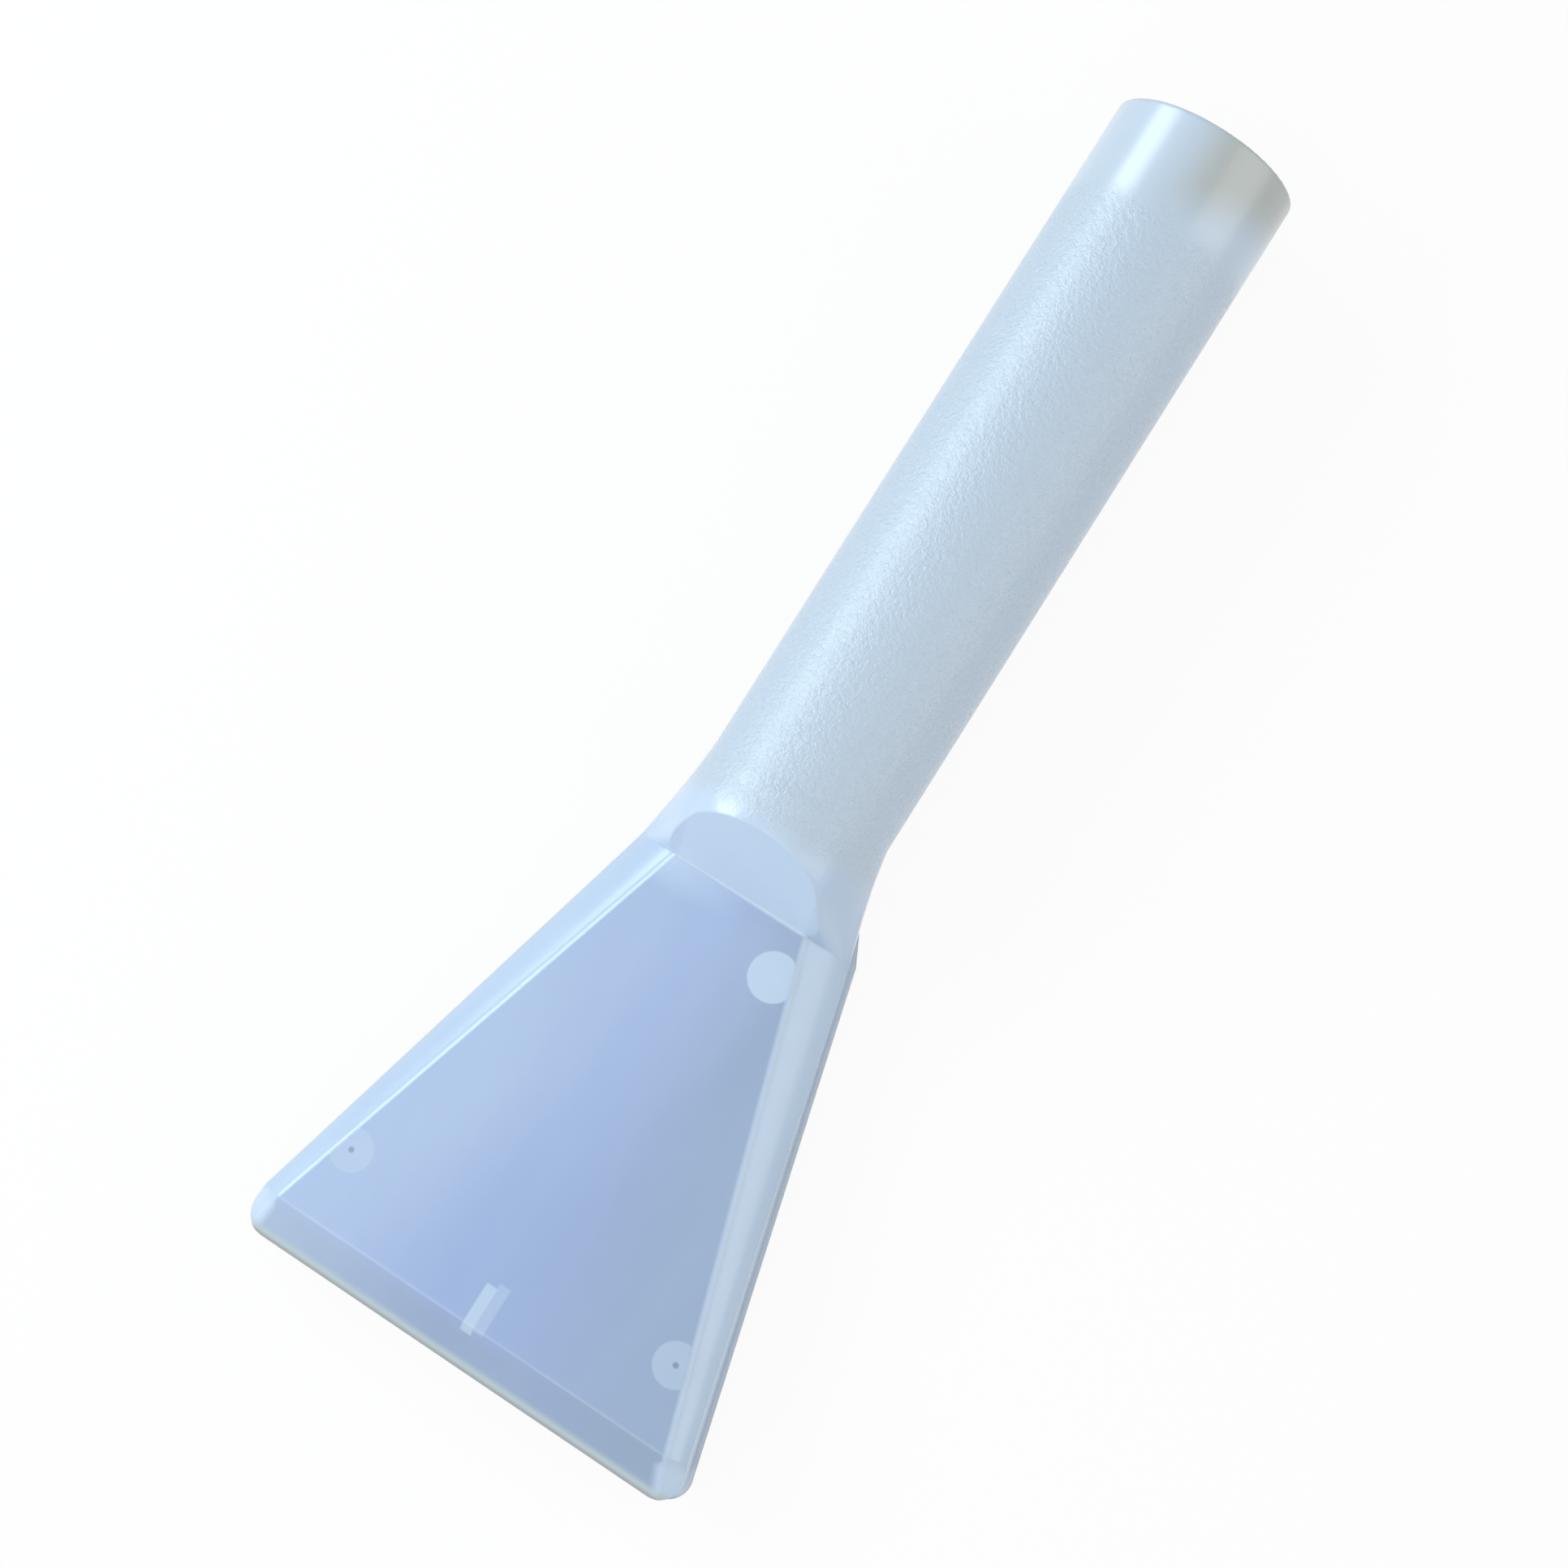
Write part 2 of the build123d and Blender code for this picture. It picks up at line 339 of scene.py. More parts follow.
    def _post_mark(self) -> bpy.types.NodeTree:
        """Build the mark of a post or rib that stands upright behind a wall.

        The mark is a box with rounded corners, seen from above: the distance outside the box, less the
        rounding, is stepped softly at its outline. A hole down the middle of the post leaves a dot.

        Returns:
            The group's tree, with outputs Mask, 1 over the post, and Dot, 1 over its hole.
        """
        bench = shader_group(
            "post_mark",
            {
                "Vector": (Socket.VECTOR, None),
                "Centre": (Socket.VECTOR, None),
                "Half": (Socket.VECTOR, None),
                "Rounding": (Socket.VALUE, 0.004),
                "Soft": (Socket.VALUE, 0.0005),
                "Hole": (Socket.VALUE, 0.0),
            },
            {"Mask": Socket.VALUE, "Dot": Socket.VALUE},
        )
        source = bench.add("NodeGroupInput").outputs
        offset = bench.vector("SUBTRACT", source["Vector"], source["Centre"])
        outside = bench.vector("SUBTRACT", bench.vector("ABSOLUTE", offset), source["Half"])
        flat = bench.vector("MULTIPLY", bench.vector("MAXIMUM", outside, (0.0, 0.0, 0.0)), (1.0, 1.0, 0.0))
        length = bench.add("ShaderNodeVectorMath", {0: flat}, operation="LENGTH").outputs["Value"]
        mask = bench.ramp(bench.maths("SUBTRACT", length, source["Rounding"]), source["Soft"], 0.0)
        rim = bench.ramp(bench.maths("SUBTRACT", length, source["Hole"]), 0.0, source["Soft"])
        dot = bench.maths("SUBTRACT", 1.0, rim)
        bench.add("NodeGroupOutput", {"Mask": bench.maths("MULTIPLY", mask, rim), "Dot": dot})
        return bench.tree

    def _corner_light(self) -> bpy.types.NodeTree:
        """Build the light lines along corners, where two walls meet and the plastic is deeper, with part of
        their brightness a painted highlight.

        The angle between the plain normal and one that is rounded over corners shows how near a corner is.

        Returns:
            The group's tree, with output Mask, 1 on a corner.
        """
        bench = shader_group(
            "corner_light",
            {
                "Rounded": (Socket.VECTOR, None),
                "Plain": (Socket.VECTOR, None),
                "Low": (Socket.VALUE, 0.004),
                "High": (Socket.VALUE, 0.06),
            },
            {"Mask": Socket.VALUE},
        )
        source = bench.add("NodeGroupInput").outputs
        pair = {0: source["Rounded"], 1: source["Plain"]}
        dot = bench.add("ShaderNodeVectorMath", pair, operation="DOT_PRODUCT").outputs["Value"]
        mask = bench.ramp(bench.maths("SUBTRACT", 1.0, dot), source["Low"], source["High"])
        bench.add("NodeGroupOutput", {"Mask": mask})
        return bench.tree

    def _milk(self) -> bpy.types.NodeTree:
        """Build the milkiness of a translucent moulding.

        Thin plastic is bluish, and painted shade greys it to the right and in the lip. Deeper plastic
        scatters more and is whiter, and the same whiter colour is painted as light at the window's left edge
        and below the neck crease. Noise along the flow of the plastic clouds it a little. The ramp gets
        painted light, the dots of pins are dark, a frosted skin is greyer, the collar gets a warm painted
        shade at its right, corners get light lines that are partly a painted highlight, and the thick rim of
        the lip is grey-green with painted shade along its edge.

        Returns:
            The group's tree, with outputs Color and Roughness.
        """
        bench = shader_group(
            "milk",
            {
                "Vector": (Socket.VECTOR, None),
                "Depth": (Socket.VALUE, 0.0),
                "Far": (Socket.VALUE, 0.0),
                "Frost": (Socket.VALUE, 0.0),
                "Collar": (Socket.VALUE, 0.0),
                "Corner": (Socket.VALUE, 0.0),
                "Rim": (Socket.VALUE, 0.0),
                "Edge": (Socket.VALUE, 0.0),
                "Dot": (Socket.VALUE, 0.0),
                "Ramp": (Socket.VALUE, 0.0),
                "Thin": (Socket.COLOUR, (0.4, 0.5, 0.8, 1.0)),
                "Shade Grey": (Socket.COLOUR, (0.4, 0.5, 0.7, 1.0)),
                "Deep": (Socket.COLOUR, (0.6, 0.7, 0.9, 1.0)),
                "Frosted": (Socket.COLOUR, (0.6, 0.7, 0.8, 1.0)),
                "Collar Shade": (Socket.COLOUR, (0.6, 0.6, 0.6, 1.0)),
                "Bright": (Socket.COLOUR, (0.8, 0.9, 1.0, 1.0)),
                "Thick": (Socket.COLOUR, (0.6, 0.7, 0.7, 1.0)),
                "Shaded": (Socket.COLOUR, (0.4, 0.4, 0.4, 1.0)),
                "Pin": (Socket.COLOUR, (0.2, 0.3, 0.4, 1.0)),
                "Veil": (Socket.VALUE, 0.3),
                "Roughness": (Socket.VALUE, 0.3),
                "Spread": (Socket.VALUE, 0.05),
            },
            {"Color": Socket.COLOUR, "Roughness": Socket.VALUE},
        )
        source = bench.add("NodeGroupInput").outputs
        stretch = bench.add("ShaderNodeMapping", {"Vector": source["Vector"], "Scale": self.flow_cells})
        cloud_inputs = {"Vector": stretch.outputs[0], "Scale": 1.0, "Detail": self.flow_detail}
        cloud = bench.add("ShaderNodeTexNoise", cloud_inputs)
        drift = bench.maths("SUBTRACT", cloud.outputs[0], 0.5)
        veil = bench.maths("MULTIPLY", drift, source["Veil"])
        share = bench.maths("ADD", source["Depth"], veil, clamp=True)
        # Painted shade greys the window's right side and the lip
        colour = bench.mix(source["Far"], source["Thin"], source["Shade Grey"])
        # Deep plastic is whiter; this mix also carries the painted light at the window's left edge and below
        # the neck crease
        colour = bench.mix(share, colour, source["Deep"])
        # Painted light on the ramp
        colour = bench.mix(source["Ramp"], colour, source["Bright"])
        colour = bench.mix(source["Dot"], colour, source["Pin"])
        colour = bench.mix(source["Frost"], colour, source["Frosted"])
        # Painted shade at the right of the collar
        colour = bench.mix(source["Collar"], colour, source["Collar Shade"])
        # Light lines along corners, partly a painted highlight
        colour = bench.mix(source["Corner"], colour, source["Bright"])
        colour = bench.mix(source["Rim"], colour, source["Thick"])
        # Painted shade along the rim's rounded edge
        colour = bench.mix(source["Edge"], colour, source["Shaded"])
        uneven = bench.maths("MULTIPLY", drift, source["Spread"])
        rough = bench.maths("ADD", source["Roughness"], uneven, clamp=True)
        bench.add("NodeGroupOutput", {"Color": colour, "Roughness": rough})
        return bench.tree


@dataclass(frozen=True)
class PostMark:
    """A post or rib that shows through the wall it stands behind.

    Attributes:
        centre: Its middle, of which X and Y count.
        half: Half the size of its straight part.
        rounding: Radius of its corners, or of a round post.
        depth: How deep the plastic looks there, from 0 to 1.
        hole: Radius of the dot at its middle, or below 0 for none.
        darkness: How dark that dot is, from 0 to 1.
    """

    centre: Triple
    half: Triple
    rounding: float
    depth: float
    hole: float = -1.0
    darkness: float = 0.0


@dataclass(frozen=True)
class WindowWall:
    """Where the thin window of the head lies, and how deep the plastic looks in and around it.

    Attributes:
        neck: Y of the crease between ramp and window.
        mouth: Y of the crease between window and lip.
        neck_edge: Half the window's width at the neck crease.
        mouth_edge: Half the window's width at the mouth crease.
        lip_rim: Y at which the lip's thick rim starts.
        lip_edge: Y at which the painted shade along the rim's rounding starts.
        soft: Width over which the wall turns thick.
        side_depth: Depth of the shoulders beside the window, from 0 to 1.
        lip_soft: Length over which the window turns into the lip.
        lip_shade: How much painted shade greys the lip, from 0 to 1.
        mouth_dim: Share of the light lines along corners, partly a painted highlight, that the mouth crease
            lacks.
        left_light: Strength of the painted light at the window's left edge, given as extra depth.
        left_light_width: How far that painted light reaches in from the edge.
        glow_strength: Strength of the painted light at the left end of the neck crease, given as extra depth.
        glow_length: How far that painted light reaches down from the crease.
    """

    neck: float
    mouth: float
    neck_edge: float
    mouth_edge: float
    lip_rim: float
    lip_edge: float
    soft: float = 1.0 * MM
    side_depth: float = 0.83
    lip_soft: float = 3.0 * MM
    # Painted shade on the lip
    lip_shade: float = 0.6
    mouth_dim: float = 0.6
    # Painted light at the window's left edge and below the neck crease
    left_light: float = 0.425
    left_light_width: float = 48 * MM
    glow_strength: float = 0.85
    glow_length: float = 15 * MM


@dataclass(frozen=True)
class MilkyPlastic:
    """Milky translucent polypropylene, glossy where smooth and frosted where grained.

    Attributes:
        name: The material's name.
        wall: The window that the plastic is thin in.
        posts: Posts and ribs that show through.
        thin: Colour of the thin window.
        shade_grey: Colour of the painted shade on the window's right side and on the lip.
        deep: Colour of deep plastic, also used for the painted light at the window's left edge and below the
            neck crease.
        frosted: Colour of the grained handle.
        collar_shade: Colour of the painted shade at the right of the smooth collar.
        bright: Colour of the light lines along corners, partly a painted highlight, and of the painted light
            on the ramp.
        thick: Colour of the lip's rim.
        shaded: Colour of the painted shade along the rim's rounding.
        pin: Colour of the dots in the posts.
        ramp_light_share: Share of the bright colour painted on the ramp as light.
        veil: How much the clouds in the plastic change its depth.
        roughness: Roughness of the skin.
        spread: How much the clouds change the roughness.
        transmission: Share of the light that passes through the skin.
        ior: Index of refraction.
        specular: Strength of the skin's own shine.
        coat: Strength of the glossy top layer.
        coat_roughness: Roughness of the glossy top layer.
        grain_dulling: Share of the top layer's gloss that the grain takes away.
        edge_radius: Radius over which edges are rounded in the light.
        corner_radius: Reach of the light lines along corners, partly a painted highlight.
        corner_share: Strength of those lines.
        post_soft: Softness of the outline of posts and dots.
        grain_range: Y at which the grain starts and ends, or None for a smooth moulding.
        grain_fade: Length over which the grain fades in and out.
        grain_cell: Size of a grain.
        grain_depth: Height of the grain's bump.
        collar_slant: How far the edge of the collar's painted shade slants, along the handle per length
            across it.
    """

    name: str
    wall: WindowWall
    posts: tuple[PostMark, ...]
    thin: Colour = (0.262, 0.38, 0.66, 1.0)
    # Painted shade on the window's right side and the lip
    shade_grey: Colour = (0.25, 0.36, 0.54, 1.0)
    deep: Colour = (0.535, 0.69, 0.88, 1.0)
    frosted: Colour = (0.53, 0.645, 0.775, 1.0)
    # Painted shade at the right of the collar
    collar_shade: Colour = (0.415, 0.452, 0.432, 1.0)
    # Light lines along corners, partly a painted highlight, and painted light on the ramp
    bright: Colour = (0.76, 0.87, 0.97, 1.0)
    thick: Colour = (0.47, 0.59, 0.61, 1.0)
    # Painted shade along the rim's rounded edge
    shaded: Colour = (0.33, 0.37, 0.40, 1.0)
    pin: Colour = (0.14, 0.22, 0.34, 1.0)
    ramp_light_share: float = 0.15
    veil: float = 0.35
    roughness: float = 0.31
    spread: float = 0.06
    transmission: float = 0.2
    ior: float = 1.49
    specular: float = 1.0
    coat: float = 0.62
    coat_roughness: float = 0.2
    grain_dulling: float = 0.75
    edge_radius: float = 1.2 * MM
    corner_radius: float = 0.7 * MM
    corner_share: float = 0.6
    post_soft: float = 0.5 * MM
    grain_range: tuple[float, float] | None = None
    grain_fade: float = 6 * MM
    grain_cell: float = 0.9 * MM
    grain_depth: float = 0.22 * MM
    collar_slant: float = 0.4

    def build(self, effects: MouldedEffects) -> bpy.types.Material:
        """Make the material.

        Args:
            effects: The shared shader groups.

        Returns:
            The material, with its Principled shader fed by the groups.
        """
        material = bpy.data.materials.new(self.name)
        material.use_nodes = True
        material.node_tree.nodes.clear()
        bench = NodeBench(material.node_tree)
        coordinates = bench.add("ShaderNodeTexCoord").outputs
        place = coordinates["Object"]
        edges = bench.add("ShaderNodeBevel", {"Radius": self.edge_radius}, samples=BEVEL_SAMPLES)
        normal = edges.outputs["Normal"]
        frost: bpy.types.NodeSocket | float = 0.0
        collar: bpy.types.NodeSocket | float = 0.0
        gloss: bpy.types.NodeSocket | float = self.coat
        if self.grain_range is not None:
            grain = bench.group(
                effects.grain,
                {
                    "Vector": place,
                    "Start": self.grain_range[0],
                    "End": self.grain_range[1],
                    "Fade": self.grain_fade,
                    "Cell": self.grain_cell,
                    "Slant": self.collar_slant,
                },
            )
            frost = grain["Handle"]
            collar = grain["Collar"]
            dulled = bench.maths("MULTIPLY", grain["Dull"], self.grain_dulling)
            gloss = bench.maths("MULTIPLY", bench.maths("SUBTRACT", 1.0, dulled), self.coat)
            bump_inputs = {"Distance": self.grain_depth, "Height": grain["Height"], "Normal": normal}
            normal = bench.add("ShaderNodeBump", bump_inputs).outputs["Normal"]
        wall = self._wall(bench, effects, place, coordinates["Normal"])
        depth, dots = self._posts(bench, effects, place, wall["Depth"])
        milk = bench.group(
            effects.milk,
            {
                "Vector": place,
                "Depth": depth,
                "Far": wall["Far"],
                "Frost": frost,
                "Collar": collar,
                "Corner": self._corner(bench, effects, wall["Catch"]),
                "Rim": wall["Rim"],
                "Edge": wall["Edge"],
                "Dot": dots,
                "Ramp": bench.maths("MULTIPLY", wall["Ramp"], self.ramp_light_share),
                "Thin": self.thin,
                "Shade Grey": self.shade_grey,
                "Deep": self.deep,
                "Frosted": self.frosted,
                "Collar Shade": self.collar_shade,
                "Bright": self.bright,
                "Thick": self.thick,
                "Shaded": self.shaded,
                "Pin": self.pin,
                "Veil": self.veil,
                "Roughness": self.roughness,
                "Spread": self.spread,
            },
        )
        skin = bench.add(
            "ShaderNodeBsdfPrincipled",
            {
                "Base Color": milk["Color"],
                "Roughness": milk["Roughness"],
                "IOR": self.ior,
                "Specular IOR Level": self.specular,
                "Transmission Weight": self.transmission,
                "Coat Weight": gloss,
                "Coat Roughness": self.coat_roughness,
                "Normal": normal,
            },
        )
        bench.add("ShaderNodeOutputMaterial", {"Surface": skin.outputs[0]})
        return material

    def _wall(
        self,
        bench: NodeBench,
        effects: MouldedEffects,
        place: bpy.types.NodeSocket,
        facing: bpy.types.NodeSocket,
    ) -> bpy.types.bpy_prop_collection:
        """Return the outputs of the wall depth group for this moulding's window."""
        return bench.group(
            effects.depth,
            {
                "Vector": place,
                "Normal": facing,
                "Neck": self.wall.neck,
                "Mouth": self.wall.mouth,
                "Neck Edge": self.wall.neck_edge,
                "Mouth Edge": self.wall.mouth_edge,
                "Lip Rim": self.wall.lip_rim,
                "Lip Edge": self.wall.lip_edge,
                "Soft": self.wall.soft,
                "Side Depth": self.wall.side_depth,
                "Lip Soft": self.wall.lip_soft,
                "Lip Shade": self.wall.lip_shade,
                "Mouth Dim": self.wall.mouth_dim,
                "Left Light": self.wall.left_light,
                "Left Light Width": self.wall.left_light_width,
                "Glow Strength": self.wall.glow_strength,
                "Glow Length": self.wall.glow_length,
            },
        )

    def _posts(
        self,
        bench: NodeBench,
        effects: MouldedEffects,
        place: bpy.types.NodeSocket,
        wall_depth: bpy.types.NodeSocket,
    ) -> tuple[bpy.types.NodeSocket, bpy.types.NodeSocket | float]:
        """Return the depth of plastic behind the skin and the dots in the posts.

        The depth is the greatest of those of the walls and the posts.

        Args:
            bench: The material's bench.
            effects: The shared shader groups.
            place: The point's place in the frame.
            wall_depth: The depth of the walls alone.

        Returns:
            The depth, 0 for thin plastic and 1 for deep, and the darkness of the dots in the posts.
        """
        depth = wall_depth
        dots: bpy.types.NodeSocket | float = 0.0
        for post in self.posts:
            mark = bench.group(
                effects.post,
                {
                    "Vector": place,
                    "Centre": post.centre,
                    "Half": post.half,
                    "Rounding": post.rounding,
                    "Soft": self.post_soft,
                    "Hole": post.hole,
                },
            )
            depth = bench.maths("MAXIMUM", depth, bench.maths("MULTIPLY", mark["Mask"], post.depth))
            dots = bench.maths("MAXIMUM", dots, bench.maths("MULTIPLY", mark["Dot"], post.darkness))
        return depth, dots

    def _corner(
        self, bench: NodeBench, effects: MouldedEffects, catch: bpy.types.NodeSocket
    ) -> bpy.types.NodeSocket:
        """Return how much a corner between two walls lights up the skin."""
        # Light lines along corners, partly a painted highlight
        bevel = bench.add("ShaderNodeBevel", {"Radius": self.corner_radius}, samples=BEVEL_SAMPLES)
        plain = bench.add("ShaderNodeNewGeometry").outputs["Normal"]
        corner = bench.group(effects.corner, {"Rounded": bevel.outputs["Normal"], "Plain": plain})
        caught = bench.maths("MULTIPLY", corner["Mask"], catch)
        return bench.maths("MULTIPLY", caught, self.corner_share)


@dataclass
class HandTool:
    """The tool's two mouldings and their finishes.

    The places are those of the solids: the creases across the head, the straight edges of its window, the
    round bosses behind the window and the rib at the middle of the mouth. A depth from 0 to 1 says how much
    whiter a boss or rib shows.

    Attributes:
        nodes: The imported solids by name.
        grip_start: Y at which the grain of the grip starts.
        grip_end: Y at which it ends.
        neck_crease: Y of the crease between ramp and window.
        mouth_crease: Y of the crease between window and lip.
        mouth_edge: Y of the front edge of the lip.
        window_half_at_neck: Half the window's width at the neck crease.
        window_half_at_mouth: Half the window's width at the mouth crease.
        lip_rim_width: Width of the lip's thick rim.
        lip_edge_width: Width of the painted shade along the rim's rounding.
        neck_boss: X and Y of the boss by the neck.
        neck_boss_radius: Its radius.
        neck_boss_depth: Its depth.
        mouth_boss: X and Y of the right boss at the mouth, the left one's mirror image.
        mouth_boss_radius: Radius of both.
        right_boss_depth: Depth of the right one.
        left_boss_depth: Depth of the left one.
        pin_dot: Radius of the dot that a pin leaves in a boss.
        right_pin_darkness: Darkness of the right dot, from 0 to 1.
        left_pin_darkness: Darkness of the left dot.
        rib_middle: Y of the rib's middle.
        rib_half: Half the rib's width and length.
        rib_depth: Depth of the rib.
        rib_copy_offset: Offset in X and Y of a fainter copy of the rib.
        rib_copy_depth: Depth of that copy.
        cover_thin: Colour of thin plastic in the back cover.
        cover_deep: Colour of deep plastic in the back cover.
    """

    nodes: dict[str, bpy.types.Object]
    grip_start: float = -22 * MM
    grip_end: float = 121 * MM
    neck_crease: float = -32 * MM
    mouth_crease: float = -128.4 * MM
    mouth_edge: float = -138 * MM
    window_half_at_neck: float = 15.0 * MM
    window_half_at_mouth: float = 44.9 * MM
    lip_rim_width: float = 2.0 * MM
    lip_edge_width: float = 0.3 * MM
    neck_boss: tuple[float, float] = (13.9 * MM, -42 * MM)
    neck_boss_radius: float = 4.8 * MM
    neck_boss_depth: float = 0.84
    mouth_boss: tuple[float, float] = (37.4 * MM, -113.2 * MM)
    mouth_boss_radius: float = 4.3 * MM
    right_boss_depth: float = 0.44
    left_boss_depth: float = 0.64
    pin_dot: float = 0.3 * MM
    right_pin_darkness: float = 0.9
    left_pin_darkness: float = 0.7
    rib_middle: float = -125.05 * MM
    rib_half: tuple[float, float] = (1.0 * MM, 4.95 * MM)
    rib_depth: float = 0.7
    rib_copy_offset: tuple[float, float] = (2.2 * MM, 1.2 * MM)
    rib_copy_depth: float = 0.34
    cover_thin: Colour = (0.29, 0.39, 0.60, 1.0)
    cover_deep: Colour = (0.58, 0.68, 0.765, 1.0)

    def dress(self, effects: MouldedEffects) -> None:
        """Give each moulding its finish."""
        wall = WindowWall(
            neck=self.neck_crease,
            mouth=self.mouth_crease,
            neck_edge=self.window_half_at_neck,
            mouth_edge=self.window_half_at_mouth,
            lip_rim=self.mouth_edge + self.lip_rim_width,
            lip_edge=self.mouth_edge + self.lip_edge_width,
        )
        bosses = self._bosses()
        finishes = {
            "body": MilkyPlastic(
                "milky_body_skin",
                wall,
                (*bosses, *self._rib()),
                grain_range=(self.grip_start, self.grip_end),
            ),
            "back_cover": MilkyPlastic(
                "milky_cover_skin",
                wall,
                bosses,
                thin=self.cover_thin,
                deep=self.cover_deep,
            ),
        }
        for name, finish in finishes.items():
            node = self.nodes[name]
            node.data.materials.clear()
            node.data.materials.append(finish.build(effects))
            LOG.info("dressed %s with %s", name, finish.name)

    def _bosses(self) -> tuple[PostMark, ...]:
        """Return the marks of the boss by the neck and of the one at each end of the mouth."""
        point = (0.0, 0.0, 0.0)
        x, y = self.mouth_boss
        radius = self.mouth_boss_radius
        right = (self.right_boss_depth, self.pin_dot, self.right_pin_darkness)
        left = (self.left_boss_depth, self.pin_dot, self.left_pin_darkness)
        return (
            PostMark((*self.neck_boss, 0.0), point, self.neck_boss_radius, self.neck_boss_depth),
            PostMark((x, y, 0.0), point, radius, *right),
            PostMark((-x, y, 0.0), point, radius, *left),
        )

    def _rib(self) -> tuple[PostMark, ...]:
        """Return the marks of the spacer rib and of a fainter copy of it, offset beside it."""
        half = (*self.rib_half, 0.0)
        copy_x, copy_y = self.rib_copy_offset
        return (
            PostMark((0.0, self.rib_middle, 0.0), half, 0.0, self.rib_depth),
            PostMark((copy_x, self.rib_middle + copy_y, 0.0), half, 0.0, self.rib_copy_depth),
        )


@dataclass(frozen=True)
class SoftLight:
    """One rectangular studio light, aimed at a point.

    Attributes:
        name: The light's name.
        place: Where it hangs.
        aim: The point it faces.
        size: Its width and height.
        power: Its power in watts.
        colour: Colour of its light.
    """

    name: str
    place: Triple
    aim: Triple
    size: tuple[float, float]
    power: float
    colour: Triple

    def build(self) -> None:
        """Add the light to the scene."""
        lamp = bpy.data.lights.new(self.name, "AREA")
        lamp.shape = "RECTANGLE"
        lamp.size, lamp.size_y = self.size
        lamp.energy = self.power
        lamp.color = self.colour
        holder = bpy.data.objects.new(self.name, lamp)
        holder.location = self.place
        direction = Vector(self.aim) - Vector(self.place)
        holder.rotation_euler = direction.to_track_quat("-Z", "Y").to_euler()
        bpy.context.scene.collection.objects.link(holder)


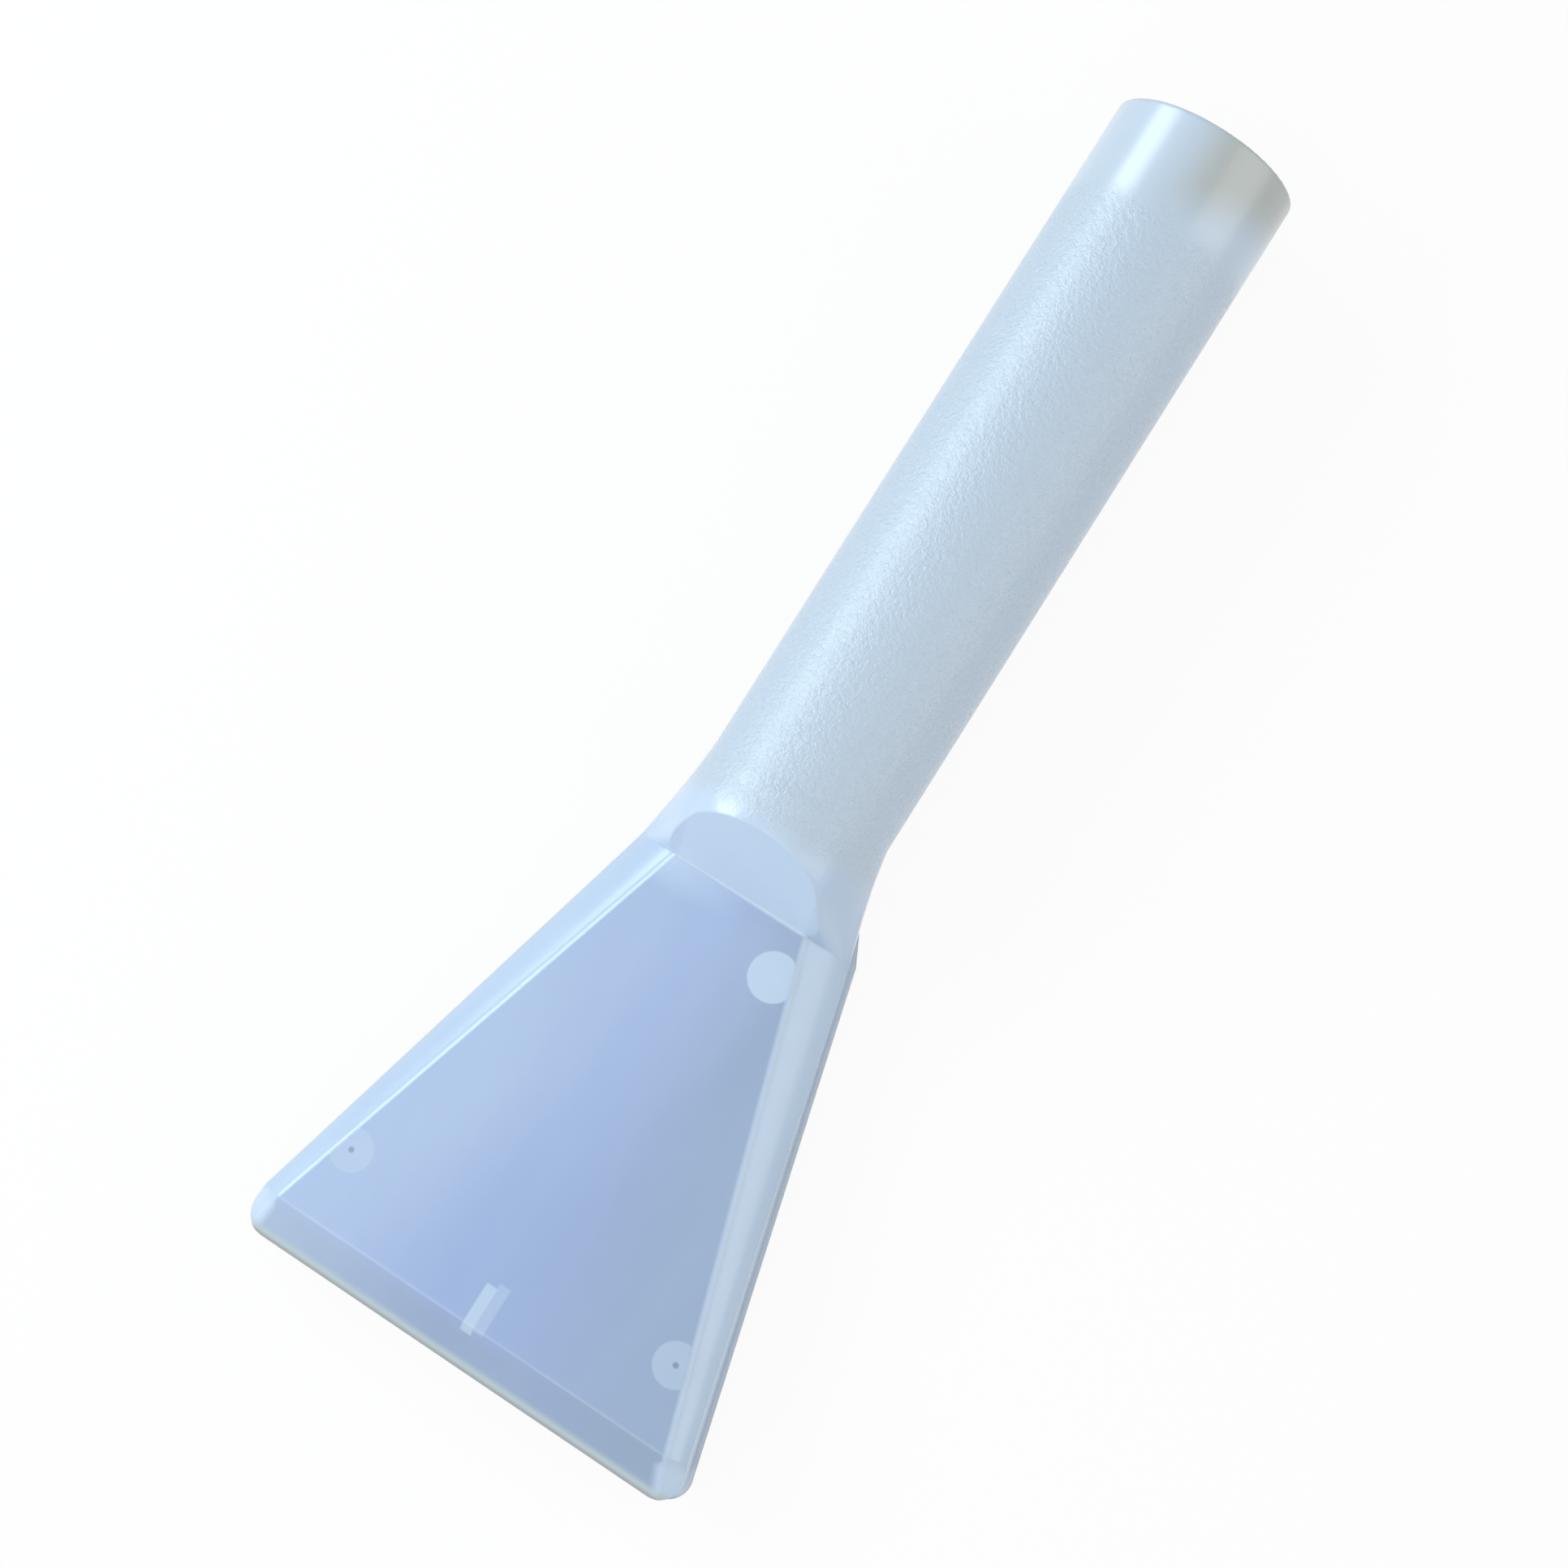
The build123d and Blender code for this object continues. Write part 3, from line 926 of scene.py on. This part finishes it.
@dataclass
class Studio:
    """Pale floor, even surrounding light and soft lamps.

    Attributes:
        floor_half: Half the floor's width.
        floor_drop: How far the floor lies below the tool.
        floor_colour: Colour of the floor where it is lit.
        shadow_share: Share of the lit floor, and so of its shadow, that shows.
        sky_strength: Strength of the light from all around.
        lights: The soft lamps.
    """

    floor_half: float = 3.0
    floor_drop: float = 0.2 * MM
    floor_colour: Colour = (0.75, 0.75, 0.75, 1.0)
    shadow_share: float = 0.08
    sky_strength: float = 0.4
    lights: list[SoftLight] = field(
        default_factory=lambda: [
            SoftLight(
                name="window_light",
                place=(-0.7, 0.0, 0.47),
                aim=(0.0, 0.0, 0.02),
                size=(1.0, 0.4),
                power=6.2,
                colour=(0.84, 0.96, 1.0),
            ),
            SoftLight(
                name="ceiling_light",
                place=(0.25, -0.3, 1.2),
                aim=(0.0, 0.0, 0.0),
                size=(1.2, 1.2),
                power=2.8,
                colour=(1.0, 1.0, 1.0),
            ),
            SoftLight(
                name="front_fill",
                place=(-0.1, -0.9, 0.45),
                aim=(0.0, -0.1, 0.02),
                size=(0.8, 0.4),
                power=2.7,
                colour=(0.97, 0.99, 1.0),
            ),
            SoftLight(
                name="side_fill",
                place=(0.9, 0.4, 0.5),
                aim=(0.0, 0.08, 0.02),
                size=(1.4, 0.9),
                power=5.2,
                colour=(0.98, 1.0, 0.99),
            ),
        ]
    )

    def build(self) -> None:
        """Add the floor, the surroundings and the lamps."""
        self._floor()
        self._surroundings()
        for light in self.lights:
            light.build()

    @staticmethod
    def _seen_directly(bench: NodeBench) -> bpy.types.NodeSocket:
        """Return 1 for rays that show the background: from the camera, mirrored or seen through."""
        path = bench.add("ShaderNodeLightPath").outputs
        direct = bench.maths("MAXIMUM", path["Is Camera Ray"], path["Is Glossy Ray"])
        return bench.maths("MAXIMUM", direct, path["Is Transmission Ray"])

    def _floor(self) -> None:
        """Add a large square floor, white to the eye, that keeps a faint shadow."""
        half = self.floor_half
        corners = np.array([[-half, -half], [half, -half], [half, half], [-half, half]])
        points = np.column_stack([corners, np.full(len(corners), -self.floor_drop)])
        mesh = bpy.data.meshes.new("studio_floor")
        mesh.from_pydata(points.tolist(), [], [[0, 1, 2, 3]])
        floor = bpy.data.objects.new("studio_floor", mesh)
        bpy.context.scene.collection.objects.link(floor)
        material = bpy.data.materials.new("pale_floor")
        material.use_nodes = True
        material.node_tree.nodes.clear()
        bench = NodeBench(material.node_tree)
        matt = bench.add("ShaderNodeBsdfDiffuse", {"Color": self.floor_colour})
        white = bench.add("ShaderNodeEmission", {"Color": WHITE, "Strength": 1.0})
        share = bench.maths("MULTIPLY", self._seen_directly(bench), 1.0 - self.shadow_share)
        mixed = bench.add("ShaderNodeMixShader", {0: share, 1: matt.outputs[0], 2: white.outputs[0]})
        bench.add("ShaderNodeOutputMaterial", {"Surface": mixed.outputs[0]})
        mesh.materials.append(material)

    def _surroundings(self) -> None:
        """Make the world white where it is seen, and a soft even light elsewhere."""
        world = bpy.data.worlds.new("studio_surroundings")
        world.use_nodes = True
        world.node_tree.nodes.clear()
        bench = NodeBench(world.node_tree)
        span = 1.0 - self.sky_strength
        strength = bench.maths("MULTIPLY_ADD", self._seen_directly(bench), span)
        strength.node.inputs[2].default_value = self.sky_strength
        sky = bench.add("ShaderNodeBackground", {"Color": WHITE, "Strength": strength})
        bench.add("ShaderNodeOutputWorld", {"Surface": sky.outputs[0]})
        bpy.context.scene.world = world


@dataclass(frozen=True)
class PhotoCamera:
    """The view of the photograph: nearly straight down, from the right of the head.

    Attributes:
        eye: Where the lens is.
        aim: The point at the middle of the picture.
        upward: The direction that is up in the picture.
        lens: Focal length in millimetres.
        sensor: Width of the sensor in millimetres.
        nearest: Distance below which nothing is drawn.
    """

    eye: Triple = (73.22 * MM, -37.84 * MM, 514.6 * MM)
    aim: Triple = (-3.95 * MM, -9.61 * MM, 21.4 * MM)
    upward: Triple = (-0.5204, 0.8439, 0.1297)
    lens: float = 59.858
    sensor: float = 36.0
    nearest: float = 10 * MM

    def build(self) -> None:
        """Add the camera and make it the scene's own."""
        back = (Vector(self.eye) - Vector(self.aim)).normalized()
        right = Vector(self.upward).cross(back).normalized()
        up = back.cross(right)
        camera = bpy.data.cameras.new("photo_camera")
        camera.sensor_fit = "HORIZONTAL"
        camera.sensor_width = self.sensor
        camera.lens = self.lens
        camera.clip_start = self.nearest
        holder = bpy.data.objects.new("photo_camera", camera)
        turn = Matrix((right, up, back)).transposed().to_4x4()
        holder.matrix_world = Matrix.Translation(Vector(self.eye)) @ turn
        bpy.context.scene.collection.objects.link(holder)
        bpy.context.scene.camera = holder


def main() -> None:
    """Load the frame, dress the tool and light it."""
    logging.basicConfig(level=logging.INFO, format="%(name)s: %(message)s")
    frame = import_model()
    bpy.context.scene.view_settings.view_transform = "Standard"
    HandTool(frame["nodes"]).dress(MouldedEffects())
    Studio().build()
    PhotoCamera().build()


if __name__ == "__main__":
    main()
